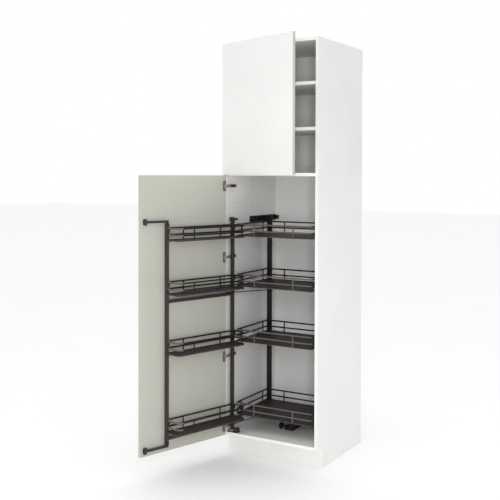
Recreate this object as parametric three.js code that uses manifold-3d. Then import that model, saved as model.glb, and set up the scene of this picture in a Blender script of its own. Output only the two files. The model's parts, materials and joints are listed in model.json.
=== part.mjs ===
// Tall kitchen cabinet with a pull-out larder: opening the lower door swings a tray frame out
// beside it and draws a second, deeper set of trays forward. Millimetres, +Z up, front towards -Y.
import * as THREE from "three";
import { mergeVertices } from "three/addons/utils/BufferGeometryUtils.js";
import Module from "manifold-3d";

const wasm = await Module();
wasm.setup();

// ---------------------------------------------------------------- driving dimensions
// Carcass
const width = 610;
const depth = 610;
const carcassHeight = 2286;
const legHeight = 114.3;
const board = 18;
const backBoard = 12;
const middlePanelLift = 1519;      // underside of the fixed middle panel above the carcass bottom
const shelfDrops = [512, 259];     // undersides of the upper shelves below the carcass top
const shelfSetback = 12;
const shelfClearance = 0.4;
// Plinth and legs
const plinthSetback = 57.3;
const plinthBoard = 16;
const plinthClearance = 0.4;
const legInset = 60;
const legFrontInset = 112;
const legRearInset = 68;
const footRadius = 31;
const footHeight = 7;
const footCollar = 13;
const stemRadius = 15;
const legPlate = 64;
const legPlateThickness = 6;
const legPlateCorner = 8;
// Doors
const doorGap = 2.5;
const doorReveal = 2;
const doorSplit = 3;
const doorEdgeGap = 1.5;
const doorOverlap = 3.5;           // of the lower door over the middle panel's front edge
const hingeAxisX = 8.5;            // virtual axis of the concealed hinges
const hingeAxisY = -12.5;
const lowerSwing = THREE.MathUtils.degToRad(107.05);
const upperSwing = THREE.MathUtils.degToRad(20.16);
// Concealed hinges
const lowerHingeLifts = [52, 463, 1044];  // above the carcass bottom
const topHingeDrop = 62.5;         // the lower door's highest hinge below its top
const upperHingeInset = 100;
const cupPlateHeight = 62;
const cupPlateWidth = 21.5;
const cupPlateEdge = 3.5;          // from the door's hinge edge
const cupPlateThickness = 1.8;
const cupPlateCorner = 6;
const cupRadius = 9;
const cupDepth = 10;
const cupWall = 1.4;
const cupClearance = 0.4;
const hingeArmLength = 103;
const hingeArmStart = 3;
const hingeArmHeight = 15;
const hingeArmDepth = 12;
const hingeNoseLength = 16;
const hingeNoseDepth = 3;
const hingeCrestInset = 2;
const hingeCrestRound = 6;
const hingeTailLength = 30;
const hingeTailRound = 4;
const hingeFootInset = 8;
const mountingPlateHeight = 50;
const mountingPlateWidth = 18;
const mountingPlateThickness = 2;
const mountingPlateCorner = 4;
const mountingPlateSetback = 37;   // its middle behind the arm's front end
// Swinging front frame: every lift from here on is above the cabinet floor
const pivotX = 46;
const pivotY = 20;
const outerPostMargin = 132.5;     // the cabinet's width less the distance between the posts
const postWidth = 14;
const postDepth = 24;
const postCorner = 3;
const pivotPostLift = 17.7;
const pivotPostLength = 1220;
const outerPostRise = 4;           // of the outer post's top above the pivot post's
const outerFootRise = 9;           // of its bottom above the pivot post's
const crossbarMiddleDrop = 108;    // below the second rails
const crossbarBottomDrop = 5;      // below the bottom coupling rod
const crossbarHeight = 17;
const crossbarThickness = 9;
const pinRadius = 4;
const pinReachUp = 15;
const pinReachDown = 11;
const boreClearance = 0.5;
const seatGap = 0.3;
const weldDepth = 1;               // how far joined forms reach into each other
// Brackets of the frame's two pivots
const bracketFront = 4;
const bracketBack = 62;
const flangeThickness = 4;
const flangeHeight = 30;
const topBracketRise = 12;
const topBracketThickness = 5;
const topBracketReach = 36;
const topBracketWidth = 34;
const topBracketInset = 2;         // behind the flange's front
const topBracketCorner = 10;
const bossRadius = 12;
const bossRise = 6;
const knobRadius = 7;
const knobReach = 26;
const knobHeight = 13;
const knobSetback = 2;             // behind the pivot
const baseThickness = 4;
const baseReach = 62;
const baseCorner = 6;
const housingReach = 58;
const housingLength = 34;
const housingHeight = 27;
const housingInset = 4;
const housingCorner = 5;
const studRadius = 5;
const studReach = 32;
const studSetback = 18;
const studHeight = 33;
// Trays and their rails
const highestRailDrop = 22;        // below the pivot post's top
const lowerRailLifts = [919.7, 594.7, 161.7];
const middleRailDrop = 37;
const trayDrop = 66;
const trayThickness = 8;
const trayRecess = 3;
const trayLip = 7;
const trayOverhang = 2;
const railRadius = 3;
const uprightWidth = 5;
const notchClearance = 3.6;
const frontTrayPivotEnd = 11;      // beyond the pivot post's middle
const frontTrayOuterEnd = 2.5;     // beyond the outer post's middle
const frontTrayDepth = 108;
const frontCornerRadius = 34;
const nearUprightInsets = [22, 106.5];   // in from the middles of the pivot post and outer post
const farUprightInsets = [93, 114.5];
const rearTrayLeft = 50;
const rearTrayRightInset = 68;
const rearTrayFront = 63;
const rearTrayBackInset = 174;
const rearCornerRadius = 9;
const rearUprightSideInset = 119;
const rearUprightFrontInset = 53;
const rearUprightBackInset = 59;
// Lugs and gussets that carry the trays on the posts
const lugHeight = 5;
const lugInset = 2;
const rearLugInset = 5;
const trayLugReach = 14;
const gussetThickness = 4;
const gussetReach = 18;
const gussetHeight = 28;
const gussetFoot = 4;
// Sliding rear frame
const rearPostWidth = 31;
const rearPostDepth = 14;
const rearPostCorner = 2.5;
const rearPostTuck = 1;            // inside the wire's outer side
const rearPostLift = 17.7;
const rearPostHead = 40;           // above the highest rails
const rearCrossbarHeight = 18;
const trolleyLeft = 300;
const trolleyWidth = 58;
const trolleyReach = 244;          // in front of the rear trays' back
const trolleyLift = 5.7;
const trolleyHeight = 19;
const trolleyCorner = 4;
const cheekThickness = 14;
const cheekRise = 8;
const wheelRadius = 21;
const wheelWidth = 10;
const wheelGap = 24;
const wheelRound = 2;
const axleRadius = 4;
const axleEnd = 3;
// Runner at the top of the rear frame
const runnerBackInset = 33;
const runnerLength = 314;
const runnerRise = 3;              // above the highest rails
const runnerHeight = 36;
const runnerDepth = 12;
const runnerWall = 2.5;
const runnerLipHeight = 10;
const endStopWidth = 24;
const endStopInset = 6;
const carriageReach = 66;          // in front of the rear trays' back
const carriageLength = 100;
const carriageClearance = 0.5;
const carriagePlate = 4;
// Linkage between the frames
const travel = 100;                // of the rear frame while the door closes
const rodRadius = 2.6;
const rodEyeRadius = 7.5;
const rodEyeThickness = 6;
const rodEyeReach = 18;            // the rear eye in front of the rear trays' back
const rodFall = 39;
const rodMiddleRise = 17;          // above the middle crossbar
const rodRearRise = 6;             // of the bottom rod's rear eye above the rear posts' bottom
const rodLugRoot = 16;
const rodLugBite = 3;              // into the post
const rodEyeBite = 2;              // of the rod into its eyes
const crankThickness = 4;
const crankWidth = 22;
const crankCorner = 5;
const crankPinRadius = 3;
// Arms between the lower door and the front frame
const armPinInset = 25.5;          // from the lower door's free edge
const armPinOut = 20.5;            // from the hinge axis, square to the door
const armLength = 150;
const armWidth = 13;
const armHeight = 12;
const armTopRise = 10;             // of the top arm's middle above the outer post
const armBottomDrop = 9.5;         // of the bottom arm's middle below it
const armGuideRadius = 6;
const armOvershoot = 1;            // beyond its round end at the door
const armEndFlat = 0.5;
const bracketPlateHeight = 31;
const bracketPlateWidth = 24;
const bracketEarRadius = 8;
const bracketEarThickness = 4;
const bracketEarCorner = 4;
const bracketThickness = 2.5;

// ---------------------------------------------------------------- worked-out places
const floorTop = legHeight + board;
const innerLeft = board;
const innerRight = width - board;
const innerBack = depth - backBoard;
const carcassTop = legHeight + carcassHeight;
const hingeEdge = doorReveal - hingeAxisX;          // the door's hinge edge from the axis
const doorInner = -doorGap - hingeAxisY;            // the door's inner face from the axis
const doorWidth = width - 2 * doorReveal;
const lowerDoorTop = legHeight + middlePanelLift + doorOverlap;
const postSpacing = width - outerPostMargin;
const pivotPostBottom = floorTop + pivotPostLift;
const pivotPostTop = pivotPostBottom + pivotPostLength;
const outerPostBottom = pivotPostBottom + outerFootRise;
const outerPostTop = pivotPostTop + outerPostRise;
const highestRail = pivotPostTop - highestRailDrop;
const topRails = [highestRail].concat(lowerRailLifts.map((lift) => floorTop + lift));
const rearTrayRight = width - rearTrayRightInset;
const rearTrayBack = depth - rearTrayBackInset;
const rearPostBottom = floorTop + rearPostLift;
const rearPostTop = highestRail + rearPostHead;
const runnerBottom = highestRail + runnerRise;
const runnerTop = runnerBottom + runnerHeight;
const crossbarMiddle = topRails[1] - crossbarMiddleDrop;
const rodMiddle = crossbarMiddle + rodMiddleRise;
const rodBottom = rearPostBottom + rodRearRise + rodFall;
const crossbarBottom = rodBottom - crossbarBottomDrop;
const armTop = outerPostTop + armTopRise;
const armBottom = outerPostBottom - armBottomDrop;
const armPinAlong = hingeEdge + doorWidth - armPinInset;
const crankRadius = travel / (2 * Math.sin(lowerSwing / 2));
const crankAlong = crankRadius * Math.cos(lowerSwing / 2);
const crankOut = crankRadius * Math.sin(lowerSwing / 2);

// ---------------------------------------------------------------- materials
const finish = (color, roughness, metalness = 0) =>
  new THREE.MeshStandardMaterial({ color, roughness, metalness });
const laminate = finish(0xeceae6, 0.5);
const interior = finish(0xb9b8b2, 0.6);
const darkMetal = finish(0x2e2927, 0.45, 0.4);
const trayBoard = finish(0x3d3431, 0.6);
const blackPlastic = finish(0x17171a, 0.5);
const zinc = finish(0x85868a, 0.35, 0.9);
const copper = finish(0x8a5a45, 0.4, 0.8);
const legPlastic = finish(0x2a2a2c, 0.6);

// ---------------------------------------------------------------- solids
function toManifold(geometry) {
  const bare = geometry.clone();
  bare.deleteAttribute("normal");
  bare.deleteAttribute("uv");
  const merged = mergeVertices(bare, 1e-4);
  return new wasm.Manifold(new wasm.Mesh({
    numProp: 3,
    vertProperties: Float32Array.from(merged.attributes.position.array),
    triVerts: Uint32Array.from(merged.index.array),
  }));
}

function fromManifold(manifold) {
  const mesh = manifold.getMesh();
  const geometry = new THREE.BufferGeometry();
  geometry.setAttribute("position", new THREE.BufferAttribute(mesh.vertProperties, 3));
  geometry.setIndex(new THREE.BufferAttribute(mesh.triVerts, 1));
  geometry.computeVertexNormals();
  return geometry;
}

const join = (...parts) => fromManifold(parts.map(toManifold).reduce((sum, part) => sum.add(part)));
const cut = (base, ...tools) =>
  fromManifold(tools.map(toManifold).reduce((rest, tool) => rest.subtract(tool), toManifold(base)));

const block = (x0, x1, y0, y1, z0, z1) =>
  new THREE.BoxGeometry(x1 - x0, y1 - y0, z1 - z0)
    .translate((x0 + x1) / 2, (y0 + y1) / 2, (z0 + z1) / 2);

const upright = (radius, x, y, z0, z1, sides = 16) =>
  new THREE.CylinderGeometry(radius, radius, z1 - z0, sides)
    .rotateX(Math.PI / 2)
    .translate(x, y, (z0 + z1) / 2);

const prism = (shape, z0, z1, curveSegments = 3) =>
  new THREE.ExtrudeGeometry(shape, { depth: z1 - z0, bevelEnabled: false, curveSegments })
    .translate(0, 0, z0);

// A profile of y across and z up, drawn out along X.
const alongX = (shape, x0, x1, curveSegments = 2) =>
  new THREE.ExtrudeGeometry(shape, { depth: x1 - x0, bevelEnabled: false, curveSegments })
    .applyMatrix4(new THREE.Matrix4().makeBasis(
      new THREE.Vector3(0, 1, 0), new THREE.Vector3(0, 0, 1), new THREE.Vector3(1, 0, 0),
    ))
    .translate(x0, 0, 0);

// A profile of z across and x up, drawn out along Y.
const alongY = (shape, y0, y1, curveSegments = 2) =>
  new THREE.ExtrudeGeometry(shape, { depth: y1 - y0, bevelEnabled: false, curveSegments })
    .applyMatrix4(new THREE.Matrix4().makeBasis(
      new THREE.Vector3(0, 0, 1), new THREE.Vector3(1, 0, 0), new THREE.Vector3(0, 1, 0),
    ))
    .translate(0, y0, 0);

// A closed outline through the given corners [x, y, radius], each rounded by its radius.
function roundedOutline(corners) {
  const shape = new THREE.Shape();
  corners.forEach(([x, y, radius], i) => {
    const corner = new THREE.Vector2(x, y);
    const before = new THREE.Vector2(...corners.at(i - 1)).sub(corner).setLength(radius).add(corner);
    const after = new THREE.Vector2(...corners[(i + 1) % corners.length])
      .sub(corner).setLength(radius).add(corner);
    if (i === 0) shape.moveTo(before.x, before.y);
    else shape.lineTo(before.x, before.y);
    if (radius > 0) shape.quadraticCurveTo(x, y, after.x, after.y);
  });
  shape.closePath();
  return shape;
}

const roundedRectangle = (x0, x1, y0, y1, radius) =>
  roundedOutline([[x0, y0, radius], [x1, y0, radius], [x1, y1, radius], [x0, y1, radius]]);

// A round wire bent along a closed flat outline: one ring of points at each corner of the outline.
function wireLoop(outline, z, radius, steps, sides = 6) {
  const points = outline.getPoints(steps)
    .filter((point, i, all) => i === 0 || point.distanceTo(all[i - 1]) > 0.01);
  if (points.at(-1).distanceTo(points[0]) < 0.01) points.pop();
  const positions = [];
  const index = [];
  points.forEach((point, i) => {
    const into = point.clone().sub(points.at(i - 1)).normalize();
    const out = points[(i + 1) % points.length].clone().sub(point).normalize();
    const along = into.clone().add(out).normalize();
    const mitre = 1 / along.dot(into);
    for (let k = 0; k < sides; k++) {
      const angle = (2 * Math.PI * k) / sides;
      const sideways = radius * Math.cos(angle) * mitre;
      positions.push(
        point.x + along.y * sideways,
        point.y - along.x * sideways,
        z + radius * Math.sin(angle),
      );
      const a = i * sides + k;
      const b = i * sides + ((k + 1) % sides);
      const c = ((i + 1) % points.length) * sides;
      index.push(a, c + k, b, b, c + k, c + ((k + 1) % sides));
    }
  });
  const geometry = new THREE.BufferGeometry();
  geometry.setAttribute("position", new THREE.Float32BufferAttribute(positions, 3));
  geometry.setIndex(index);
  return geometry;
}

// ---------------------------------------------------------------- scene graph
const unit = new THREE.Group();

function place(parent, name, geometry, material) {
  const mesh = new THREE.Mesh(geometry, material);
  mesh.name = name;
  parent.add(mesh);
  return mesh;
}

function turnedGroup(parent, x, y, angle) {
  const group = new THREE.Group();
  group.position.set(x, y, 0);
  group.rotation.z = angle;
  parent.add(group);
  return group;
}

// ---------------------------------------------------------------- carcass
function carcass() {
  const across = (z) => block(innerLeft, innerRight, 0, innerBack, z, z + board);
  place(unit, "side_panel_left", block(0, board, 0, depth, legHeight, carcassTop), laminate);
  place(unit, "side_panel_right", block(innerRight, width, 0, depth, legHeight, carcassTop), laminate);
  place(unit, "bottom_panel", across(legHeight), interior);
  place(unit, "middle_panel", across(legHeight + middlePanelLift), interior);
  place(unit, "top_panel", across(carcassTop - board), laminate);
  place(unit, "back_panel",
    block(innerLeft, innerRight, innerBack, depth, legHeight, carcassTop), interior);
  shelfDrops.forEach((drop, i) => {
    const z = carcassTop - drop;
    const shelf = block(innerLeft + shelfClearance, innerRight - shelfClearance,
      shelfSetback, innerBack - shelfClearance, z, z + board);
    place(unit, `shelf_${i + 1}`, shelf, interior);
  });
}

function plinth() {
  const inner = plinthSetback + plinthBoard;
  const outline = roundedOutline([
    [0, plinthSetback, 0], [width, plinthSetback, 0], [width, depth, 0], [width - plinthBoard, depth, 0],
    [width - plinthBoard, inner, 0], [plinthBoard, inner, 0], [plinthBoard, depth, 0], [0, depth, 0],
  ]);
  place(unit, "plinth", prism(outline, 0, legHeight - plinthClearance), laminate);
}

function leg(name, x, y) {
  const plateBottom = legHeight - legPlateThickness;
  const profile = [
    [0, 0], [footRadius, 0], [footRadius, footHeight], [stemRadius, footHeight + footCollar],
    [stemRadius, plateBottom], [0, plateBottom],
  ].map(([r, z]) => new THREE.Vector2(r, z));
  const stem = new THREE.LatheGeometry(profile, 14).rotateX(Math.PI / 2);
  const half = legPlate / 2;
  const plate = prism(roundedRectangle(-half, half, -half, half, legPlateCorner),
    plateBottom - weldDepth, legHeight, 2);
  place(unit, name, join(stem, plate), legPlastic).position.set(x, y, 0);
}

// ---------------------------------------------------------------- hinges
function hingeArm(name, z) {
  const front = hingeArmStart;
  const back = hingeArmStart + hingeArmLength;
  const root = innerLeft + mountingPlateThickness;
  const crest = innerLeft + hingeArmDepth;
  const halfArm = hingeArmHeight / 2;
  const side = new THREE.Shape();
  side.moveTo(root, front + hingeNoseLength);
  side.lineTo(root + hingeNoseDepth, front);
  side.lineTo(crest - hingeCrestInset, front);
  side.quadraticCurveTo(crest, front, crest, front + hingeCrestRound);
  side.lineTo(crest, back - hingeTailLength);
  side.quadraticCurveTo(crest, back - hingeTailRound, root, back);
  side.closePath();
  const halfPlate = mountingPlateHeight / 2;
  const halfWing = mountingPlateWidth / 2;
  const plateMiddle = front + mountingPlateSetback;
  const wing = roundedRectangle(plateMiddle - halfWing, plateMiddle + halfWing,
    z - halfPlate, z + halfPlate, mountingPlateCorner);
  const wings = alongX(wing, innerLeft, root + weldDepth);
  const arm = prism(side, z - halfArm, z + halfArm, 3);
  const foot = block(innerLeft, root + weldDepth,
    front + hingeNoseLength + weldDepth, back - hingeFootInset,
    z - halfArm + weldDepth, z + halfArm - weldDepth);
  place(unit, name, join(arm, wings, foot), copper);
}

// The cup's plate lies on the door's inner face, with its bowl in a bore of the door.
function hingeCup(parent, name, z) {
  const left = hingeEdge + cupPlateEdge;
  const right = left + cupPlateWidth;
  const middle = (left + right) / 2;
  const halfPlate = cupPlateHeight / 2;
  const plate = new THREE.ExtrudeGeometry(
    roundedRectangle(left, right, z - halfPlate, z + halfPlate, cupPlateCorner),
    { depth: cupPlateThickness, bevelEnabled: false, curveSegments: 2 },
  )
    .rotateX(Math.PI / 2)
    .translate(0, doorInner + cupPlateThickness, 0);
  const bowl = (radius, from, to) => new THREE.CylinderGeometry(radius, radius, to - from, 16)
    .translate(middle, (from + to) / 2, z);
  const cupFloor = doorInner - cupDepth;
  const plateFace = doorInner + cupPlateThickness;
  const shell = bowl(cupRadius, cupFloor, doorInner + weldDepth);
  const hollow = bowl(cupRadius - cupWall, cupFloor + cupWall, plateFace + weldDepth);
  place(parent, name, cut(join(plate, shell), hollow), zinc);
}

function door(parent, name, z0, z1, hingeHeights) {
  const slab = block(hingeEdge, hingeEdge + doorWidth, doorInner - board, doorInner, z0, z1);
  const boreX = hingeEdge + cupPlateEdge + cupPlateWidth / 2;
  const boreRadius = cupRadius + cupClearance;
  const from = doorInner - cupDepth - cupClearance;
  const to = doorInner + weldDepth;
  const bores = hingeHeights.map((z) =>
    new THREE.CylinderGeometry(boreRadius, boreRadius, to - from, 16).translate(boreX, (from + to) / 2, z));
  place(parent, name, cut(slab, ...bores), laminate);
}

// ---------------------------------------------------------------- trays and rails
function frontOutline(grow) {
  const back = postDepth / 2 + notchClearance - grow;
  const notch = postWidth / 2 + notchClearance - grow;
  const start = -frontTrayPivotEnd - grow;
  const end = postSpacing + frontTrayOuterEnd + grow;
  const out = frontTrayDepth + grow;
  const corner = frontCornerRadius + grow;
  return roundedOutline([
    [start, back, 0], [notch, back, 0], [notch, -grow, 0], [postSpacing - notch, -grow, 0],
    [postSpacing - notch, back, 0], [end, back, 0], [end, out, corner], [start, out, corner],
  ]);
}

function rearOutline(grow) {
  const left = rearTrayLeft - grow;
  const right = rearTrayRight + grow;
  const front = rearTrayFront - grow;
  const back = rearTrayBack + grow;
  const notchDepth = rearTrayBack - rearPostDepth / 2 - notchClearance + grow;
  const notch = rearPostWidth + notchClearance - grow;
  const corner = rearCornerRadius + grow;
  return roundedOutline([
    [left, front, corner], [right, front, corner], [right, notchDepth, 0],
    [rearTrayRight - notch, notchDepth, 0], [rearTrayRight - notch, back, 0],
    [rearTrayLeft + notch, back, 0], [rearTrayLeft + notch, notchDepth, 0], [left, notchDepth, 0],
  ]);
}

// A shallow tray with a raised lip, its top at the given height less the drop of its rails.
function tray(parent, name, outline, topRail, steps) {
  const middle = topRail - trayDrop;
  const top = middle + trayThickness / 2;
  const base = prism(outline(trayOverhang), middle - trayThickness / 2, top, steps);
  const hollow = prism(outline(trayOverhang - trayLip), top - trayRecess, top + weldDepth, steps);
  place(parent, name, cut(base, hollow), trayBoard);
}

// Two wire rails round a tray, joined by short uprights that stand on the tray's lip.
function trayRails(parent, name, outline, topRail, steps, uprightPlaces) {
  const foot = topRail - trayDrop + trayThickness / 2 + seatGap;
  const half = uprightWidth / 2;
  const loops = [topRail, topRail - middleRailDrop].map((z) => wireLoop(outline(0), z, railRadius, steps));
  const uprights = uprightPlaces.map(([x, y]) =>
    block(x - half, x + half, y - half, y + half, foot, topRail));
  place(parent, name, join(...loops, ...uprights), darkMetal);
}

// A lug under a tray and a tapered gusset under its top rail, both out of the face of a post.
function trayCarriers(x0, x1, face, out, topRail) {
  const at = (reach) => face + out * reach;
  const lugTop = topRail - trayDrop - trayThickness / 2 - seatGap;
  const lug = block(x0, x1, Math.min(at(-weldDepth), at(trayLugReach)),
    Math.max(at(-weldDepth), at(trayLugReach)), lugTop - lugHeight, lugTop);
  const gussetTop = topRail - railRadius - seatGap;
  const profile = [
    [at(-weldDepth), gussetTop], [at(-weldDepth), gussetTop - gussetHeight],
    [at(gussetFoot), gussetTop - gussetHeight], [at(gussetReach), gussetTop - gussetFoot],
    [at(gussetReach), gussetTop],
  ].map(([y, z]) => [y, z, 0]);
  const middle = (x0 + x1) / 2;
  const gusset = alongX(roundedOutline(profile),
    middle - gussetThickness / 2, middle + gussetThickness / 2);
  return [lug, gusset];
}

// ---------------------------------------------------------------- swinging front frame
function frontPost(along, z0, z1) {
  const outline = roundedRectangle(along - postWidth / 2, along + postWidth / 2,
    -postDepth / 2, postDepth / 2, postCorner);
  const lugHalf = postWidth / 2 - lugInset;
  const carriers = topRails.flatMap((rail) =>
    trayCarriers(along - lugHalf, along + lugHalf, postDepth / 2, 1, rail));
  return [prism(outline, z0, z1, 2), ...carriers];
}

// A bar between the posts, with the crank lug that pushes the rear frame's rod.
function crossbar(parent, name, z, crankTop) {
  const start = postWidth / 2 + seatGap;
  const end = postSpacing - postWidth / 2 - seatGap;
  const half = crossbarThickness / 2;
  const halfCrank = crankWidth / 2;
  const lug = roundedOutline([
    [crankAlong - halfCrank, 0, 0], [crankAlong + halfCrank, 0, 0],
    [crankAlong + rodEyeRadius, crankOut + rodEyeRadius, crankCorner],
    [crankAlong - rodEyeRadius, crankOut + rodEyeRadius, crankCorner],
  ]);
  const eyeTop = crankTop + seatGap + rodEyeThickness;
  place(parent, name, join(
    block(start, end, -half, half, z - crossbarHeight / 2, z + crossbarHeight / 2),
    block(crankAlong - halfCrank, crankAlong + halfCrank, -half, half, z, crankTop),
    prism(lug, crankTop - crankThickness, crankTop, 3),
    upright(crankPinRadius, crankAlong, crankOut, crankTop - weldDepth, eyeTop, 12),
  ), darkMetal);
}

function frontFrame(group) {
  place(group, "pivot_post", join(
    ...frontPost(0, pivotPostBottom, pivotPostTop),
    upright(pinRadius, 0, 0, pivotPostTop - weldDepth, pivotPostTop + pinReachUp, 12),
    upright(pinRadius, 0, 0, pivotPostBottom - pinReachDown, pivotPostBottom + weldDepth, 12),
  ), darkMetal);
  const topArmUnderside = armTop - armHeight / 2;
  const bottomArmTop = armBottom + armHeight / 2;
  place(group, "outer_post", join(
    ...frontPost(postSpacing, outerPostBottom, outerPostTop),
    upright(armGuideRadius, postSpacing, 0, outerPostTop - weldDepth, topArmUnderside - seatGap, 12),
    upright(armGuideRadius, postSpacing, 0, bottomArmTop + seatGap, outerPostBottom + weldDepth, 12),
  ), darkMetal);
  const crankDrop = rodEyeThickness / 2 + seatGap;
  crossbar(group, "crossbar_middle", crossbarMiddle, rodMiddle - crankDrop);
  crossbar(group, "crossbar_bottom", crossbarBottom, rodBottom - crankDrop);
  const [nearPivot, nearOuter] = nearUprightInsets;
  const [farPivot, farOuter] = farUprightInsets;
  const places = [
    [nearPivot, frontTrayDepth], [postSpacing - nearOuter, frontTrayDepth],
    [farPivot, 0], [postSpacing - farOuter, 0],
  ];
  topRails.forEach((rail, i) => {
    tray(group, `front_tray_${i + 1}`, frontOutline, rail, 4);
    trayRails(group, `front_rails_${i + 1}`, frontOutline, rail, 4, places);
  });
}

function pivotBrackets() {
  const bore = pinRadius + boreClearance;
  const plateTop = pivotPostTop + topBracketRise;
  const plateBottom = plateTop - topBracketThickness;
  const plateFront = bracketFront + topBracketInset;
  const knobX = pivotX + knobReach;
  place(unit, "pivot_bracket_top", cut(
    join(
      block(innerLeft, innerLeft + flangeThickness, bracketFront, bracketBack,
        pivotPostTop + weldDepth, pivotPostTop + flangeHeight),
      prism(roundedRectangle(innerLeft, pivotX + topBracketReach,
        plateFront, plateFront + topBracketWidth, topBracketCorner), plateBottom, plateTop, 3),
      upright(bossRadius, pivotX, pivotY, pivotPostTop + seatGap, plateTop + bossRise, 20),
      upright(knobRadius, knobX, pivotY + knobSetback,
        plateTop - weldDepth, plateTop + knobHeight, 12),
    ),
    upright(bore, pivotX, pivotY, pivotPostTop - weldDepth, plateTop + bossRise - weldDepth, 24),
  ), blackPlastic);

  const baseTop = floorTop + baseThickness;
  const baseLeft = innerLeft + flangeThickness;
  const housingRight = pivotX + housingReach;
  const studX = pivotX + studReach;
  place(unit, "pivot_bracket_bottom", cut(
    join(
      prism(roundedRectangle(baseLeft, pivotX + baseReach, bracketFront, bracketBack, baseCorner),
        floorTop, baseTop, 3),
      upright(bossRadius, pivotX, pivotY, baseTop - weldDepth, pivotPostBottom - seatGap, 20),
      prism(roundedRectangle(housingRight - housingLength, housingRight,
        bracketFront + housingInset, bracketBack - housingInset, housingCorner),
      baseTop - weldDepth, floorTop + housingHeight, 3),
      upright(studRadius, studX, studSetback,
        floorTop + housingHeight - weldDepth, floorTop + studHeight, 12),
    ),
    upright(bore, pivotX, pivotY, baseTop, pivotPostBottom + weldDepth, 24),
  ), blackPlastic);
}

// ---------------------------------------------------------------- sliding rear frame
function slideRail() {
  const end = depth - runnerBackInset;
  const face = innerLeft + runnerDepth;
  const wall = runnerWall;
  const channel = [
    [innerLeft, runnerBottom], [face, runnerBottom], [face, runnerBottom + runnerLipHeight],
    [face - wall, runnerBottom + runnerLipHeight], [face - wall, runnerBottom + wall],
    [innerLeft + wall, runnerBottom + wall], [innerLeft + wall, runnerTop - wall],
    [face - wall, runnerTop - wall], [face - wall, runnerTop - runnerLipHeight],
    [face, runnerTop - runnerLipHeight], [face, runnerTop], [innerLeft, runnerTop],
  ].map(([x, z]) => [z, x, 0]);
  const endStop = block(innerLeft, innerLeft + endStopWidth, end - weldDepth, innerBack - seatGap,
    runnerBottom + endStopInset, runnerTop - endStopInset);
  const runner = alongY(roundedOutline(channel), end - runnerLength, end);
  place(unit, "slide_rail", join(runner, endStop), darkMetal);
}

// The lugs that the rods' rear eyes lie on, each a plate before the post and a root beside it.
function rodLugs(postRight, postFront) {
  const lugRight = pivotX + crankAlong + rodEyeRadius;
  const root = postRight - rodLugBite;
  const front = rearTrayBack - rodEyeReach - rodEyeRadius;
  return [rodMiddle, rodBottom].flatMap((z) => {
    const top = z - rodFall - rodEyeThickness / 2 - seatGap;
    const bottom = top - crankThickness;
    return [
      block(root - rodLugRoot, lugRight, front, postFront - seatGap, bottom, top),
      block(root - rodLugRoot, root, postFront - rodLugBite, postFront + weldDepth, bottom, top),
    ];
  });
}

// Carriage: a tongue inside the runner, its neck through the slot, a plate outside and a bridge to the post.
function carriage(postLeft, postFront, postBack) {
  const start = rearTrayBack - carriageReach;
  const end = start + carriageLength;
  const gap = runnerWall + carriageClearance;
  const tongueLeft = innerLeft + gap;
  const tongueRight = innerLeft + runnerDepth - gap;
  const plateLeft = innerLeft + runnerDepth + carriageClearance;
  const plateRight = plateLeft + carriagePlate;
  const neckInset = runnerLipHeight + carriageClearance;
  return [
    block(tongueLeft, tongueRight, start, end, runnerBottom + gap, runnerTop - gap),
    block(tongueRight - weldDepth, plateLeft + weldDepth, start, end,
      runnerBottom + neckInset, runnerTop - neckInset),
    block(plateLeft, plateRight, start, end, runnerBottom, runnerTop),
    block(plateRight - weldDepth, postLeft + weldDepth, postFront, postBack, runnerBottom, runnerTop),
  ];
}

// The bar between the rear posts, with the trolley's body, its cheek and the wheel's axle.
function trolley(barLeft, barRight, postFront, postBack) {
  const front = rearTrayBack - trolleyReach;
  const bottom = floorTop + trolleyLift;
  const wheelX = trolleyLeft - wheelGap - wheelWidth;
  const wheelY = front + wheelRadius;
  const wheelZ = floorTop + seatGap + wheelRadius;
  const axleLeft = wheelX - axleEnd;
  const axleRight = trolleyLeft + weldDepth;
  const axle = new THREE.CylinderGeometry(axleRadius, axleRadius, axleRight - axleLeft, 12)
    .rotateZ(Math.PI / 2)
    .translate((axleLeft + axleRight) / 2, wheelY, wheelZ);
  const cheekHalf = axleRadius + cheekRise;
  place(unit, "rear_crossbar", join(
    block(barLeft, barRight, postFront, postBack, rearPostBottom, rearPostBottom + rearCrossbarHeight),
    prism(roundedRectangle(trolleyLeft, trolleyLeft + trolleyWidth, front, postBack, trolleyCorner),
      bottom, bottom + trolleyHeight, 2),
    block(trolleyLeft, trolleyLeft + cheekThickness, wheelY - cheekHalf, wheelY + cheekHalf,
      bottom, floorTop + wheelRadius + cheekRise),
    axle,
  ), darkMetal);

  const bore = axleRadius + boreClearance;
  const profile = [
    [bore, 0], [wheelRadius - wheelRound, 0], [wheelRadius, wheelRound],
    [wheelRadius, wheelWidth - wheelRound], [wheelRadius - wheelRound, wheelWidth],
    [bore, wheelWidth], [bore, 0],
  ].map(([r, x]) => new THREE.Vector2(r, x));
  place(unit, "trolley_wheel", new THREE.LatheGeometry(profile, 24).rotateZ(-Math.PI / 2), blackPlastic)
    .position.set(wheelX, wheelY, wheelZ);
}

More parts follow.
